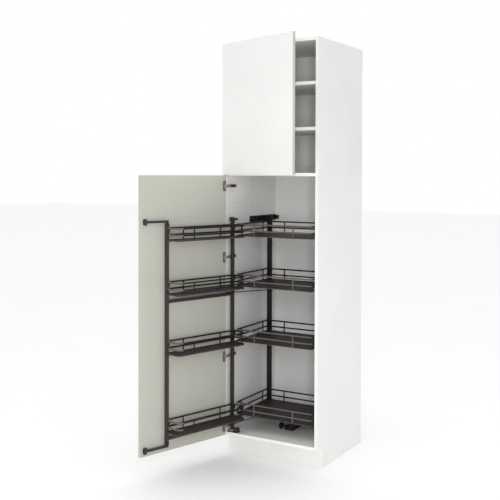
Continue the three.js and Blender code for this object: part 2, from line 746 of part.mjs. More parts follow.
function rearFrame() {
  const postLeft = rearTrayLeft - railRadius + rearPostTuck;
  const postRight = postLeft + rearPostWidth;
  const farPostRight = rearTrayLeft + rearTrayRight - postLeft;
  const farPostLeft = farPostRight - rearPostWidth;
  const postFront = rearTrayBack - rearPostDepth / 2;
  const postBack = rearTrayBack + rearPostDepth / 2;
  const post = (x0, top) => {
    const outline = roundedRectangle(x0, x0 + rearPostWidth, postFront, postBack, rearPostCorner);
    const carriers = topRails.flatMap((rail) =>
      trayCarriers(x0 + rearLugInset, x0 + rearPostWidth - rearLugInset, postFront, -1, rail));
    return [prism(outline, rearPostBottom, top, 2), ...carriers];
  };
  place(unit, "rear_post_left", join(
    ...post(postLeft, rearPostTop),
    ...rodLugs(postRight, postFront),
    ...carriage(postLeft, postFront, postBack),
  ), darkMetal);
  place(unit, "rear_post_right", join(...post(farPostLeft, highestRail)), darkMetal);
  trolley(postRight + seatGap, farPostLeft - seatGap, postFront, postBack);

  const uprightsX = [rearTrayLeft + rearUprightSideInset, rearTrayRight - rearUprightSideInset];
  const uprightsY = [rearTrayFront + rearUprightFrontInset, rearTrayBack - rearUprightBackInset];
  const places = uprightsX.flatMap((x) => [[x, rearTrayFront], [x, rearTrayBack]])
    .concat(uprightsY.flatMap((y) => [[rearTrayLeft, y], [rearTrayRight, y]]));
  topRails.forEach((rail, i) => {
    tray(unit, `rear_tray_${i + 1}`, rearOutline, rail, 2);
    trayRails(unit, `rear_rails_${i + 1}`, rearOutline, rail, 2, places);
  });
}

// ---------------------------------------------------------------- linkage
// The rod runs straight back from the crank pin and falls towards the rear frame.
function couplingRod(name, z) {
  const pin = new THREE.Vector2(crankAlong, crankOut)
    .rotateAround(new THREE.Vector2(), -lowerSwing)
    .add(new THREE.Vector2(pivotX, pivotY));
  const reach = rearTrayBack - rodEyeReach - pin.y;
  const half = rodEyeThickness / 2;
  const barLength = Math.hypot(reach, rodFall) - 2 * (rodEyeRadius - rodEyeBite);
  const bar = new THREE.CylinderGeometry(rodRadius, rodRadius, barLength, 8)
    .rotateX(Math.atan2(-rodFall, reach))
    .translate(0, reach / 2, -rodFall / 2);
  const solid = cut(
    join(
      bar,
      upright(rodEyeRadius, 0, 0, -half, half, 14),
      upright(rodEyeRadius, 0, reach, -rodFall - half, -rodFall + half, 14),
    ),
    upright(crankPinRadius + boreClearance, 0, 0, -half - weldDepth, half + weldDepth, 16),
  );
  place(unit, name, solid, darkMetal).position.set(pin.x, pin.y, z);
}

// One arm hinged on a bracket of the door, lying over (or under) the end of the outer post.
function doorArm(group, side, z, earSide) {
  const halfArm = armHeight / 2;
  const pinInner = z - earSide * (halfArm + seatGap);
  const pinOuter = z + earSide * halfArm;
  const earOuter = pinInner - earSide * bracketEarThickness;
  const plateLeft = armPinAlong + bracketEarRadius - bracketPlateWidth;
  const between = (a, b) => [Math.min(a, b), Math.max(a, b)];
  const ear = roundedRectangle(armPinAlong - bracketEarRadius, armPinAlong + bracketEarRadius,
    doorInner + weldDepth, armPinOut + bracketEarRadius, bracketEarCorner);
  place(group, `door_bracket_${side}`, join(
    block(plateLeft, plateLeft + bracketPlateWidth, doorInner, doorInner + bracketThickness,
      z - bracketPlateHeight / 2, z + bracketPlateHeight / 2),
    prism(ear, ...between(earOuter, pinInner), 3),
    upright(pinRadius, armPinAlong, armPinOut, ...between(pinInner - earSide * weldDepth, pinOuter), 12),
  ), blackPlastic);

  const post = new THREE.Vector2(pivotX - hingeAxisX, pivotY - hingeAxisY)
    .rotateAround(new THREE.Vector2(), lowerSwing)
    .add(new THREE.Vector2(postSpacing, 0));
  const hub = turnedGroup(group, armPinAlong, armPinOut,
    Math.atan2(post.y - armPinOut, post.x - armPinAlong));
  const halfWidth = armWidth / 2;
  const outline = roundedRectangle(-halfWidth - armOvershoot, armLength,
    -halfWidth, halfWidth, halfWidth - armEndFlat);
  const bore = upright(pinRadius + boreClearance, 0, 0, z - halfArm - weldDepth, z + halfArm + weldDepth, 16);
  place(hub, `door_arm_${side}`, cut(prism(outline, z - halfArm, z + halfArm, 4), bore), darkMetal);
}

// ---------------------------------------------------------------- assembly
carcass();
plinth();
leg("leg_front_left", legInset, legFrontInset);
leg("leg_front_right", width - legInset, legFrontInset);
leg("leg_rear_left", legInset, depth - legRearInset);
leg("leg_rear_right", width - legInset, depth - legRearInset);

const lowerHinges = lowerHingeLifts.map((lift) => legHeight + lift).concat(lowerDoorTop - topHingeDrop);
const upperDoorBottom = lowerDoorTop + doorSplit;
const upperDoorTop = carcassTop - doorEdgeGap;
const upperHinges = [upperDoorBottom + upperHingeInset, upperDoorTop - upperHingeInset];

const lowerDoor = turnedGroup(unit, hingeAxisX, hingeAxisY, -lowerSwing);
door(lowerDoor, "lower_door", legHeight + doorEdgeGap, lowerDoorTop, lowerHinges);
lowerHinges.forEach((z, i) => {
  hingeArm(`lower_hinge_arm_${i + 1}`, z);
  hingeCup(lowerDoor, `lower_hinge_cup_${i + 1}`, z);
});
const upperDoor = turnedGroup(unit, hingeAxisX, hingeAxisY, -upperSwing);
door(upperDoor, "upper_door", upperDoorBottom, upperDoorTop, upperHinges);
upperHinges.forEach((z, i) => {
  hingeArm(`upper_hinge_arm_${i + 1}`, z);
  hingeCup(upperDoor, `upper_hinge_cup_${i + 1}`, z);
});

pivotBrackets();
frontFrame(turnedGroup(unit, pivotX, pivotY, -lowerSwing));
slideRail();
rearFrame();
couplingRod("coupling_rod_middle", rodMiddle);
couplingRod("coupling_rod_bottom", rodBottom);
doorArm(lowerDoor, "top", armTop, 1);
doorArm(lowerDoor, "bottom", armBottom, -1);

// The origin is on the floor, under the middle of the box round the unit with its doors as they stand.
unit.updateMatrixWorld(true);
const middle = new THREE.Box3().setFromObject(unit, true).getCenter(new THREE.Vector3());
unit.position.set(-middle.x, -middle.y, 0);

export default unit;
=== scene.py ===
"""Tall kitchen cabinet with a pull-out larder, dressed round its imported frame. Metres, +Z up."""

import json
import math

import bmesh
import bpy
from mathutils import Matrix, Vector


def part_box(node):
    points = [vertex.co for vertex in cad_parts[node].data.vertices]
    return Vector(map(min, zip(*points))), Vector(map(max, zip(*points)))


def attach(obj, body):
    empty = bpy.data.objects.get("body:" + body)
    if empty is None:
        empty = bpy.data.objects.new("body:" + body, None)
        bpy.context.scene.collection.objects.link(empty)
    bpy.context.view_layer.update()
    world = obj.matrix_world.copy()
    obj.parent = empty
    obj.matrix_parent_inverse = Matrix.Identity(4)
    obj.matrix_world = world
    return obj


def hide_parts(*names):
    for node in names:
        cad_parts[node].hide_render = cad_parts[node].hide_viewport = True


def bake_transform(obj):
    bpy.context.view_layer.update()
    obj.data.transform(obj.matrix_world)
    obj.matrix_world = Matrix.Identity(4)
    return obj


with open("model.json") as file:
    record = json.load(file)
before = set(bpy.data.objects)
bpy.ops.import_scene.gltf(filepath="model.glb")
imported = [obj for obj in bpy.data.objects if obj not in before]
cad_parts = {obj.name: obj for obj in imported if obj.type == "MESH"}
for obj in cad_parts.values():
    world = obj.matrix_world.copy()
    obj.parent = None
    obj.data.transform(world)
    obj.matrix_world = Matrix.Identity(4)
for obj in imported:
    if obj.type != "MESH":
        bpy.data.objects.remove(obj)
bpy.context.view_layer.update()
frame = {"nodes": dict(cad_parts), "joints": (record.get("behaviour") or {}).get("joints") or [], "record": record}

MM = 0.001
UP = Vector((0, 0, 1))
IN_PLACE = Matrix.Identity(4)      # of what is drawn where it stands in the frame


def mm(points):
    """Points given in millimetres, in metres."""
    return [tuple(value * MM for value in point) for point in points]


# ---------------------------------------------------------------- places read from the frame
LEFT_LOW, LEFT_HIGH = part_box("side_panel_left")
RIGHT_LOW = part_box("side_panel_right")[0]
CORNER = Vector((LEFT_LOW.x, LEFT_LOW.y, 0))     # the carcass's front left corner, on the floor
BOARD = LEFT_HIGH.x - LEFT_LOW.x                 # thickness of a side panel
JOINTS = {joint["name"]: joint for joint in frame["joints"]}


def joint_place(name):
    """The point of a joint's axis at floor level."""
    x, y, _ = JOINTS[name]["pos_m"]
    return Vector((x, y, 0))


def rest_swing(name):
    """How far a door stands open in the frame: its closed limit is that far behind."""
    return -math.radians(JOINTS[name]["range_deg"][0])


def swung(origin, angle):
    """The matrix from a piece's own drawing to the frame: turned open by angle about origin."""
    return Matrix.Translation(origin) @ Matrix.Rotation(-angle, 4, "Z")


LOWER_SWING = rest_swing("lower_door_hinge")
UPPER_SWING = rest_swing("upper_door_hinge")
LOWER_DOOR = swung(joint_place("lower_door_hinge"), LOWER_SWING)
UPPER_DOOR = swung(joint_place("upper_door_hinge"), UPPER_SWING)
FRONT_FRAME = swung(joint_place("front_frame_pivot"), LOWER_SWING)
CARCASS = Matrix.Translation(CORNER)

# ---------------------------------------------------------------- materials
NOISE_LOW, NOISE_HIGH = 0.3, 0.7   # the noise's range, across which colour and gloss wander
NOISE_ROUGHNESS = 0.6
GLOSS_SPREAD = 0.12                # share by which the roughness wanders to each side
GRAIN_DETAIL = 2.0
BUMP_DEPTH = 0.5 * MM
FACE_LIMIT = 0.7                   # a face looks along a direction at a cosine above this
MIX_A, MIX_B, MIX_RESULT = 6, 7, 2               # the colour sockets of a Mix node
CLOUDS = (3, 3, 3)                 # cycles per metre of a laminate's faint unevenness
WHITE_RANGE = (0.83, 0.825, 0.81), (0.87, 0.865, 0.85)         # lowest and highest colour
STREAK_RANGE = (0.017, 0.0130, 0.0118), (0.062, 0.049, 0.045)
STREAKS = (7, 260, 260)            # cycles per metre along and across a tray


def node(tree, kind, **values):
    """Adds a shader node and sets its inputs, or its own settings where it has no such input."""
    made = tree.nodes.new(kind)
    for key, value in values.items():
        name = key.replace("_", " ")
        if name in made.inputs:
            made.inputs[name].default_value = value
        else:
            setattr(made, key, value)
    return made


def ramp(tree, noise, low, high):
    """A colour that goes from low to high across the noise's range."""
    made = node(tree, "ShaderNodeValToRGB")
    start, end = made.color_ramp.elements
    start.position, end.position = NOISE_LOW, NOISE_HIGH
    start.color, end.color = (*low, 1), (*high, 1)
    tree.links.new(noise.outputs["Fac"], made.inputs["Fac"])
    return made.outputs["Color"]


def face_colour(tree, coordinates, noise, colour, face):
    """The given colour, and another one on the faces that look along a direction."""
    direction, low, high = face
    looks = node(tree, "ShaderNodeVectorMath", operation="DOT_PRODUCT")
    looks.inputs[1].default_value = direction
    tree.links.new(coordinates.outputs["Normal"], looks.inputs[0])
    chosen = node(tree, "ShaderNodeMath", operation="GREATER_THAN")
    chosen.inputs[1].default_value = FACE_LIMIT
    tree.links.new(looks.outputs["Value"], chosen.inputs[0])
    both = node(tree, "ShaderNodeMix", data_type="RGBA")
    tree.links.new(chosen.outputs["Value"], both.inputs["Factor"])
    tree.links.new(colour, both.inputs[MIX_A])
    tree.links.new(ramp(tree, noise, low, high), both.inputs[MIX_B])
    return both.outputs[MIX_RESULT]


def material(name, low, high, roughness, metallic=0.0, scale=(60, 60, 60), bump=0.02,
             bump_scale=900, detail=4.0, turn=0.0, specular=0.5, face=None):
    """A surface whose colour wanders between low and high, with a fine bump and an uneven gloss.

    scale is cycles per metre along axes turned about Z. face is (direction, low, high): the
    colours of the faces that look that way, where they aren't the rest's."""
    made = bpy.data.materials.new(name)
    made.use_nodes = True
    tree = made.node_tree
    shader = tree.nodes["Principled BSDF"]
    shader.inputs["Metallic"].default_value = metallic
    shader.inputs["Specular IOR Level"].default_value = specular
    coordinates = node(tree, "ShaderNodeTexCoord")
    place = coordinates.outputs["Object"]
    mapping = node(tree, "ShaderNodeMapping", vector_type="TEXTURE", Rotation=(0, 0, turn),
                   Scale=[1 / cycles for cycles in scale])
    tree.links.new(place, mapping.inputs["Vector"])
    noise = node(tree, "ShaderNodeTexNoise", Scale=1.0, Detail=detail, Roughness=NOISE_ROUGHNESS)
    tree.links.new(mapping.outputs["Vector"], noise.inputs["Vector"])
    colour = ramp(tree, noise, low, high)
    if face:
        colour = face_colour(tree, coordinates, noise, colour, face)
    tree.links.new(colour, shader.inputs["Base Color"])
    gloss = node(tree, "ShaderNodeMapRange", From_Min=NOISE_LOW, From_Max=NOISE_HIGH,
                 To_Min=roughness * (1 - GLOSS_SPREAD),
                 To_Max=min(1.0, roughness * (1 + GLOSS_SPREAD)))
    tree.links.new(noise.outputs["Fac"], gloss.inputs["Value"])
    tree.links.new(gloss.outputs["Result"], shader.inputs["Roughness"])
    grain = node(tree, "ShaderNodeTexNoise", Scale=bump_scale, Detail=GRAIN_DETAIL)
    tree.links.new(place, grain.inputs["Vector"])
    relief = node(tree, "ShaderNodeBump", Strength=bump, Distance=BUMP_DEPTH)
    tree.links.new(grain.outputs["Fac"], relief.inputs["Height"])
    tree.links.new(relief.outputs["Normal"], shader.inputs["Normal"])
    return made


def door_material_with_painted_shade(name, swing):
    """A door swung open by an angle: white on its front, and a grey beige that is painted shade on its edges and
    inside.
    """
    front = (-math.sin(swing), -math.cos(swing), 0)
    # the grey beige is painted shade; the white front is the laminate's own colour
    return material(name, (0.478, 0.475, 0.417), (0.508, 0.505, 0.446), 0.5, scale=CLOUDS,
                    face=(front, *WHITE_RANGE))


def streaked(name, turn, shade=1.0):
    """A tray's board, with fine streaks along its length; shade below 1 darkens it as painted shade."""
    low, high = ([value * shade for value in colour] for colour in STREAK_RANGE)
    return material(name, low, high, 0.5, scale=STREAKS, bump=0.15, bump_scale=700, detail=6.0,
                    turn=turn, specular=0.35)


WHITE = material("white_laminate", *WHITE_RANGE, 0.42, scale=CLOUDS)
INTERIOR = material("interior_laminate", (0.84, 0.835, 0.82), (0.87, 0.865, 0.85), 0.5,
                    scale=CLOUDS)
# paler than the white laminate: painted light on the bottom, middle and top panels and the shelves
LIT_SHELF_BOARD = material("shelf_laminate_painted_light", (0.91, 0.905, 0.885), (0.94, 0.935, 0.915), 0.5,
                       scale=CLOUDS)
LOWER_DOOR_BOARD = door_material_with_painted_shade("lower_door_laminate_painted_shade", LOWER_SWING)
UPPER_DOOR_BOARD = door_material_with_painted_shade("upper_door_laminate_painted_shade", UPPER_SWING)
# raw board, made dark as painted shade inside the holes
RAW_BOARD_AND_SHADE = material("raw_board_and_painted_shade", (0.10, 0.075, 0.05), (0.20, 0.15, 0.10), 0.9,
                     scale=(900, 900, 900))
METAL = material("powder_coat", (0.020, 0.0165, 0.0155), (0.028, 0.023, 0.0215), 0.42, bump=0.25)
# darker than the front frame's powder coat: painted shade on the rear frame, the slide rail and the coupling rods
SHADED_REAR_METAL = material("rear_powder_coat_painted_shade", (0.007, 0.0063, 0.0060), (0.011, 0.0100, 0.0095), 0.45,
                      bump=0.25, specular=0.35)
WIRE = material("coated_wire", (0.009, 0.0076, 0.0071), (0.016, 0.0132, 0.0124), 0.45,
                bump=0.2, specular=0.3)
# a paler copy of the wire's coat: painted highlight on the wires that face the front
PAINTED_HIGHLIGHT_WIRE = material("coated_wire_painted_highlight", (0.100, 0.087, 0.083), (0.135, 0.118, 0.113), 0.45,
                       bump=0.2)
FRONT_TRAY_BOARD = streaked("front_tray_board", -LOWER_SWING)
# darkened as painted shade inside the carcass
SHADED_REAR_TRAY_BOARD = streaked("rear_tray_board_painted_shade", 0, 0.7)
# paler than the tray board: a painted highlight along the trays' lower edges
TRAY_BAND_HIGHLIGHT = material("tray_edge_band_painted_highlight", (0.13, 0.098, 0.090), (0.17, 0.13, 0.12), 0.4)
PLASTIC = material("black_plastic", (0.008, 0.008, 0.009), (0.013, 0.013, 0.014), 0.38, bump=0.12)
ZINC = material("zinc_plate", (0.11, 0.115, 0.12), (0.24, 0.245, 0.255), 0.5, metallic=0.35,
                scale=(90, 90, 90), bump=0.05)
BROWN_PLATE = material("brown_plate", (0.085, 0.045, 0.030), (0.15, 0.085, 0.060), 0.4,
                       metallic=0.7, bump=0.05)
COPPER = material("copper_plate", (0.36, 0.25, 0.21), (0.48, 0.34, 0.28), 0.45,
                  metallic=0.5, bump=0.05)
STEEL = material("bright_screw", (0.20, 0.20, 0.205), (0.28, 0.28, 0.29), 0.45,
                 metallic=0.6, bump=0.04)
NYLON = material("pale_bush", (0.55, 0.54, 0.52), (0.64, 0.63, 0.60), 0.5, bump=0.05)
DARK_SCREW = material("dark_screw", (0.020, 0.016, 0.014), (0.034, 0.028, 0.025), 0.35,
                      metallic=0.8, bump=0.04)

# ---------------------------------------------------------------- drawing
MITRE_LIMIT = 0.2                  # keeps the mitre of a sharp corner short
FLARE_LENGTH = 1.5                 # of a weld's flare along its rod, as a share of its size
STEEP = 0.9                        # an axis at a larger cosine to X is measured from Y instead
CORNER_STEPS = 7                   # of a wire's round corner
BLOCK_STEPS = 5                    # of a block's


def around(count):
    """The pairs of neighbours round a closed line of count points."""
    return [(k, (k + 1) % count) for k in range(count)]


def turns(sides):
    """The angles of a circle's points."""
    return [2 * math.pi * k / sides for k in range(sides)]


def ring(radius, sides=12):
    """The section of a round wire."""
    return [(radius * math.cos(turn), radius * math.sin(turn)) for turn in turns(sides)]


def outline(corners, steps=CORNER_STEPS):
    """The points of a closed line through corners (x, y, radius), each rounded by a true arc."""
    points = []
    for i, (x, y, radius) in enumerate(corners):
        corner = Vector((x, y))
        into = (corner - Vector(corners[i - 1][:2])).normalized()
        out = (Vector(corners[(i + 1) % len(corners)][:2]) - corner).normalized()
        centre = corner - into * radius + out * radius
        for k in range(steps + 1):
            turn = math.pi / 2 * k / steps
            points.append(centre - out * radius * math.cos(turn) + into * radius * math.sin(turn))
    return points


def sweep(path, section, z):
    """Carries a section of (outward, up) points round a closed flat path, with mitred corners."""
    points, faces = [], []
    count, sides = len(path), len(section)
    for i, place in enumerate(path):
        into = (place - path[i - 1]).normalized()
        out = (path[(i + 1) % count] - place).normalized()
        along = (into + out).normalized()
        mitre = 1 / max(MITRE_LIMIT, along.dot(into))
        side = Vector((along.y, -along.x)) * mitre
        points.extend((place.x + side.x * u, place.y + side.y * u, z + v) for u, v in section)
    for i, after in around(count):
        a, b = i * sides, after * sides
        faces += [(a + k, b + k, b + n, a + n) for k, n in around(sides)]
    return points, faces


def lathe(profile, centre, axis, sides, bored=False):
    """A turned piece: profile of (radius, along) points round an axis through centre.

    A bored one's profile comes back to its start; a solid one is closed by a disc at each end."""
    centre, axis = Vector(centre), Vector(axis).normalized()
    helper = Vector((1, 0, 0)) if abs(axis.x) < STEEP else Vector((0, 1, 0))
    u = axis.cross(helper).normalized()
    v = axis.cross(u)
    points = [centre + axis * along + u * r * math.cos(turn) + v * r * math.sin(turn)
              for r, along in profile for turn in turns(sides)]
    bands = around(len(profile)) if bored else around(len(profile))[:-1]
    faces = []
    for i, after in bands:
        a, b = i * sides, after * sides
        faces += [(a + k, a + n, b + n, b + k) for k, n in around(sides)]
    if not bored:
        faces.append(tuple(reversed(range(sides))))
        faces.append(tuple(range(len(points) - sides, len(points))))
    return points, faces


def rod(start, end, radius, sides=12, flare=0.0):
    """A round bar between two points, its ends flared by a weld of the given size."""
    start, end = Vector(start), Vector(end)
    length = (end - start).length
    profile = [(radius, 0), (radius, length)]
    if flare:
        neck = flare * FLARE_LENGTH
        profile = [(radius + flare, 0), (radius, neck), (radius, length - neck),
                   (radius + flare, length)]
    return lathe(profile, start, end - start, sides)


def slab(path, low, high):
    """A flat closed outline drawn up from low to high."""
    count = len(path)
    points = [(x, y, z) for z in (low, high) for x, y in path]
    faces = [tuple(reversed(range(count))), tuple(range(count, 2 * count))]
    faces += [(k, n, count + n, count + k) for k, n in around(count)]
    return points, faces


def side_slab(path, near, far):
    """A closed outline of (x, z) points drawn back from near to far."""
    flat, faces = slab(path, -far, -near)
    return [(x, -y, z) for x, z, y in flat], faces


def box(x0, x1, y0, y1, z0, z1):
    """A plain block."""
    return slab([(x0, y0), (x1, y0), (x1, y1), (x0, y1)], z0, z1)


def rounded_box(x0, x1, y0, y1, z0, z1, radius):
    """A block with round upright corners."""
    corners = [(x0, y0, radius), (x1, y0, radius), (x1, y1, radius), (x0, y1, radius)]
    return slab(outline(corners, BLOCK_STEPS), z0, z1)


def ribbon(path, half_thickness, half_heights, z):
    """A flat bar on edge along an open flat path, as high at each point as half_heights says."""
    points, faces = [], []
    last = len(path) - 1
    for i, place in enumerate(path):
        along = (path[min(i + 1, last)] - path[max(i - 1, 0)]).normalized()
        side = Vector((along.y, -along.x)) * half_thickness
        high = half_heights[i]
        points += [(place.x + way * side.x, place.y + way * side.y, z + lift)
                   for way, lift in ((1, -high), (1, high), (-1, high), (-1, -high))]
    for a in range(0, 4 * last, 4):
        faces += [(a + k, a + 4 + k, a + 4 + n, a + n) for k, n in around(4)]
    faces += [(0, 1, 2, 3), tuple(4 * last + k for k in (3, 2, 1, 0))]
    return points, faces


def curve_through(a, b, c, steps):
    """Points of a smooth bend from a to c that is drawn towards b."""
    return [a * (1 - t) ** 2 + b * (2 * t * (1 - t)) + c * t ** 2
            for t in (i / steps for i in range(steps + 1))]


def mesh_from(name, parts, matrix):
    """One mesh of several (points, faces) parts, moved by matrix."""
    points, faces = [], []
    for part_points, part_faces in parts:
        base = len(points)
        points.extend(part_points)
        faces.extend([base + i for i in face] for face in part_faces)
    mesh = bpy.data.meshes.new(name)
    mesh.from_pydata([tuple(p) for p in points], [], faces)
    mesh.transform(matrix)
    mesh.validate()
    return mesh


# ---------------------------------------------------------------- pieces
BEVEL_SEGMENTS = 2
BEVEL_ANGLE = math.radians(40)     # edges sharper than this are rounded
SCREW_SINK = 0.2 * MM              # of a screw head's foot in the face that it stands on
SCREW_PROFILE = [(1, 0.35), (0.86, 0.75), (0.55, 1), (0.42, 1), (0.30, 0.2)]
                                   # shares of the head's radius and rise


def rounded(made, width):
    """Gives an object a fine rounding along its edges."""
    bevel = made.modifiers.new("edges", "BEVEL")
    bevel.width = width
    bevel.segments = BEVEL_SEGMENTS
    bevel.limit_method = "ANGLE"
    bevel.angle_limit = BEVEL_ANGLE
    bevel.harden_normals = True


def dressed(name, mesh, body, slot, finish, replaces=(), smooth=40, edge=0.0):
    """A named object made of mesh, with its finish.

    Edges under smooth degrees are shaded smooth, and edge is the width of the rounding, if any, of
    the sharp ones."""
    made = bpy.data.objects.new(name, mesh)
    bpy.context.scene.collection.objects.link(made)
    mesh.materials.append(finish)
    mesh.shade_smooth()
    mesh.set_sharp_from_angle(angle=math.radians(smooth))
    if isinstance(body, str):
        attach(made, body)
    else:
        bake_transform(made)
    if edge:
        rounded(made, edge)
    if replaces:
        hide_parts(*replaces)
    return made


def piece(name, parts, matrix, body, slot, finish, **dress):
    """A dressed object drawn as several parts, which matrix moves to their place."""
    return dressed(name, mesh_from(name, parts, matrix), body, slot, finish, **dress)


def plastic(name, parts, matrix, body, **dress):
    """A piece of black plastic."""
    piece(name, parts, matrix, body, "black_plastic", PLASTIC, **dress)


def screw(place, axis, radius=3.6 * MM, rise=1.4 * MM):
    """A domed screw head with a recess, standing on place."""
    profile = [(radius, -SCREW_SINK)] + [(radius * r, rise * z) for r, z in SCREW_PROFILE]
    return lathe(profile, place, axis, sides=18)


def screws(name, places, axis, matrix, body, slot="dark_metal", finish=DARK_SCREW, **size):
    """The screw heads on several places, as one piece."""
    heads = [screw(place, axis, **size) for place in places]
    piece(name, heads, matrix, body, slot, finish, smooth=50)


# ---------------------------------------------------------------- the drilled side panels
HOLE_PITCH = 32 * MM
HOLE_FIRST = 51.2 * MM             # height of the lowest row above the panel's lower end
HOLE_COLUMNS = [37 * MM, 69 * MM, 297 * MM, 528 * MM]      # behind the panel's front edge
HOLE_RADIUS = 2.7 * MM
HOLE_DEPTH = 11 * MM
HOLE_CELL = 16 * MM                # width of the strip of faces that holds a column
HOLE_SIDES = 12
HOLE_START = math.radians(225)     # a hole's first point looks at its cell's first corner


def bore(build, add_face, corners, centre, inward):
    """Fills the cell between four corners round a hole, whose wall and floor are raw board made dark as painted
    shade.
    """
    mouth, floor = [], []
    for turn in turns(HOLE_SIDES):
        offset = Vector((0, math.cos(HOLE_START + turn), math.sin(HOLE_START + turn))) * HOLE_RADIUS
        mouth.append(build.verts.new(centre + offset))
        floor.append(build.verts.new(centre + offset + inward))
    quarter = HOLE_SIDES // 4
    for q, after in around(4):
        arc = [mouth[(q * quarter + j) % HOLE_SIDES] for j in range(quarter + 1)]
        add_face(corners[q], corners[after], *reversed(arc))
    for k, n in around(HOLE_SIDES):
        add_face(mouth[k], mouth[n], floor[n], floor[k]).material_index = 1
    add_face(*floor).material_index = 1


def drilled_panel(name, cad_node, inner_side):
    """A side board whose inner face, towards +X or -X as inner_side says, has its rows of holes."""
    low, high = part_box(cad_node)
    face_x, far_x = (high.x, low.x) if inner_side > 0 else (low.x, high.x)
    ys = [low.y]
    for column in HOLE_COLUMNS:
        ys += [low.y + column - HOLE_CELL / 2, low.y + column + HOLE_CELL / 2]
    ys.append(high.y)
    first = low.z + HOLE_FIRST
    rows = int((high.z - HOLE_PITCH - first) / HOLE_PITCH) + 1
    zs = [low.z] + [first + HOLE_PITCH * (i - 0.5) for i in range(rows + 1)] + [high.z]
    build = bmesh.new()
    grid = [[build.verts.new((face_x, y, z)) for y in ys] for z in zs]

    def add_face(*verts):
        """A face that looks outward on this panel."""
        return build.faces.new(verts if inner_side > 0 else reversed(verts))

    for r in range(len(zs) - 1):
        for c in range(len(ys) - 1):
            corners = [grid[r][c], grid[r][c + 1], grid[r + 1][c + 1], grid[r + 1][c]]
            is_hole = c % 2 == 1 and 0 < r < len(zs) - 2       # not in the end rows of cells
            if is_hole:
                centre = Vector((face_x, (ys[c] + ys[c + 1]) / 2, (zs[r] + zs[r + 1]) / 2))
                bore(build, add_face, corners, centre, Vector((-inner_side * HOLE_DEPTH, 0, 0)))
            else:
                add_face(*corners)
    # the outer face, and one face to it from each of the inner face's four sides
    border = (grid[0] + [row[-1] for row in grid[1:]]
              + grid[-1][-2::-1] + [row[0] for row in reversed(grid[1:-1])])
    far = [build.verts.new((far_x, v.co.y, v.co.z)) for v in border]
    add_face(*reversed(far))
    start = 0
    for count in (len(ys) - 1, len(zs) - 1, len(ys) - 1, len(zs) - 1):
        run = [(start + i) % len(border) for i in range(count + 1)]
        add_face(*(border[i] for i in reversed(run)), *(far[i] for i in run))
        start += count
    mesh = bpy.data.meshes.new(name)
    build.normal_update()
    build.to_mesh(mesh)
    build.free()
    dressed(name, mesh, "carcass", "white_laminate", WHITE, replaces=[cad_node], smooth=30)
    mesh.materials.append(RAW_BOARD_AND_SHADE)


# ---------------------------------------------------------------- wire rails round the trays
RAIL_RADIUS = 3 * MM               # of the frame's own rails, which the wires stand for
WIRE_RADIUS = 4.5 * MM
UPRIGHT_RADIUS = 3.6 * MM
WELD = 0.8 * MM                    # size of the weld at an upright's ends
BEAD_RADIUS = 1.1 * MM             # of the edge band's lower bead
MIDDLE_RAIL_DROP = 37 * MM         # of the lower wire under the upper one
TRAYS = range(1, 5)                # of either frame, counted from the top
TRAY_DROP = 66 * MM                # of a tray board's middle under the upper wire
TRAY_THICKNESS = 8 * MM
TRAY_OVERHANG = 2 * MM             # of a tray's rim past its wires' middle
UPRIGHT_LIFT = 0.3 * MM            # of an upright's foot over the tray
NOTCH_CLEARANCE = 3.6 * MM         # between a post and the line that goes round it
NOTCH_BEND = 2 * MM                # radius of that line's corners
POST_SPACING = 477.5 * MM          # of the front frame's posts, which stand along its X
POST_WIDTH, POST_DEPTH = 14 * MM, 24 * MM
REAR_POST_WIDTH, REAR_POST_DEPTH = 31 * MM, 14 * MM
FRONT_TRAY = {"start": -11 * MM, "end": 480 * MM, "depth": 108 * MM, "corner": 34 * MM}
                                   # in the front frame's drawing, from its pivot
REAR_TRAY = {"left": 50 * MM, "right": 542 * MM, "front": 63 * MM, "back": 436 * MM,
             "corner": 9 * MM}     # from the carcass's corner
FRONT_UPRIGHTS = [(22 * MM, FRONT_TRAY["depth"]), (371 * MM, FRONT_TRAY["depth"]),
                  (93 * MM, 0), (363 * MM, 0)]
REAR_UPRIGHTS = ([(x, y) for x in (169 * MM, 423 * MM)
                  for y in (REAR_TRAY["front"], REAR_TRAY["back"])]
                 + [(x, y) for y in (116 * MM, 377 * MM)
                    for x in (REAR_TRAY["left"], REAR_TRAY["right"])])


def front_outline(grow=0.0):
    """The line of a front tray's wires, notched round both posts, or that line grown outward."""
    start, end = FRONT_TRAY["start"] - grow, FRONT_TRAY["end"] + grow
    out = FRONT_TRAY["depth"] + grow
    corner = FRONT_TRAY["corner"] + grow
    back = POST_DEPTH / 2 + NOTCH_CLEARANCE - grow
    notch = POST_WIDTH / 2 + NOTCH_CLEARANCE - grow
    bend = NOTCH_BEND
    return outline([
        (start, back, bend), (notch, back, bend), (notch, -grow, bend),
        (POST_SPACING - notch, -grow, bend), (POST_SPACING - notch, back, bend),
        (end, back, bend), (end, out, corner), (start, out, corner),
    ])


def rear_outline(grow=0.0):
    """The line of a rear tray's wires, notched at both posts, or that line grown outward."""
    left, right = REAR_TRAY["left"] - grow, REAR_TRAY["right"] + grow
    front, back = REAR_TRAY["front"] - grow, REAR_TRAY["back"] + grow
    corner = REAR_TRAY["corner"] + grow
    notch_y = REAR_TRAY["back"] - REAR_POST_DEPTH / 2 - NOTCH_CLEARANCE + grow
    notch = REAR_POST_WIDTH + NOTCH_CLEARANCE - grow
    notch_left, notch_right = REAR_TRAY["left"] + notch, REAR_TRAY["right"] - notch
    bend = NOTCH_BEND
    return outline([
        (left, front, corner), (right, front, corner), (right, notch_y, bend),
        (notch_right, notch_y, bend), (notch_right, back, bend),
        (notch_left, back, bend), (notch_left, notch_y, bend), (left, notch_y, bend),
    ])


